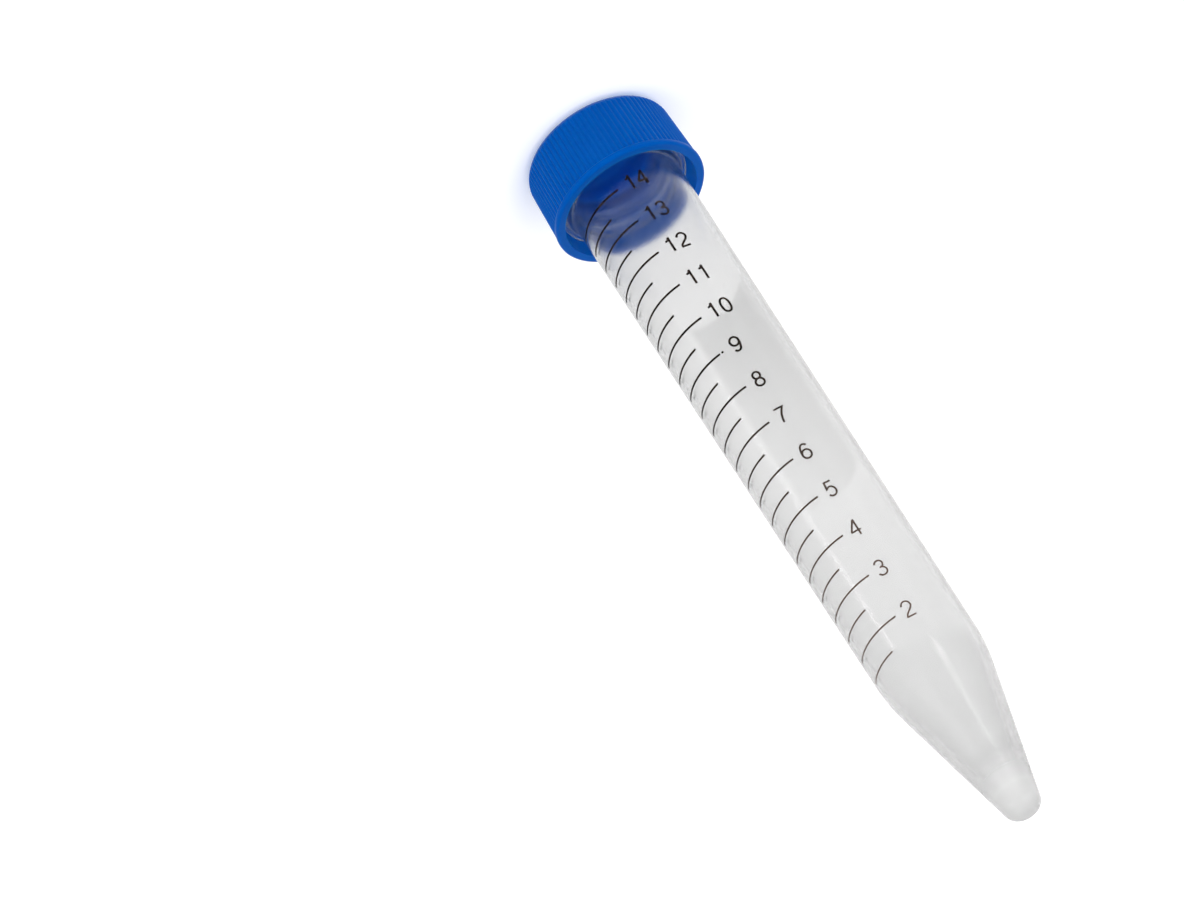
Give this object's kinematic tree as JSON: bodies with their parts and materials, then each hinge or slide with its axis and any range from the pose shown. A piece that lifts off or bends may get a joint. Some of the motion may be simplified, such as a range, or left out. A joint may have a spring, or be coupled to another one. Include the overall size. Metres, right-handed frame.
{
  "type": "conical centrifuge tube",
  "caption": "Clear plastic 15 ml conical tube with a printed scale, a white writing patch and a ribbed blue screw cap, standing on its cap.",
  "frame": {"origin": "centre of the cap's flat top, which the tube stands on", "axes": "+Z along the tube's axis from the cap to the tip, -Y towards the start of the printed scale"},
  "size_m": [0.0224, 0.0224, 0.121],
  "materials": {
    "clear_plastic": "clear natural polypropylene, smooth",
    "blue_plastic": "satin moulded polypropylene",
    "black_ink": "printed ink",
    "white_ink": "printed ink, matt"
  },
  "bodies": {
    "cap": {"cap": "blue_plastic"},
    "tube": {"tube": "clear_plastic", "graduation_marks": "black_ink", "writing_patch": "white_ink"}
  },
  "joints": [
    {"name": "tube_lift", "type": "slide", "parent": "cap", "child": "tube", "axis": [0, 0, 1], "range_m": [0, 0.03]}
  ]
}
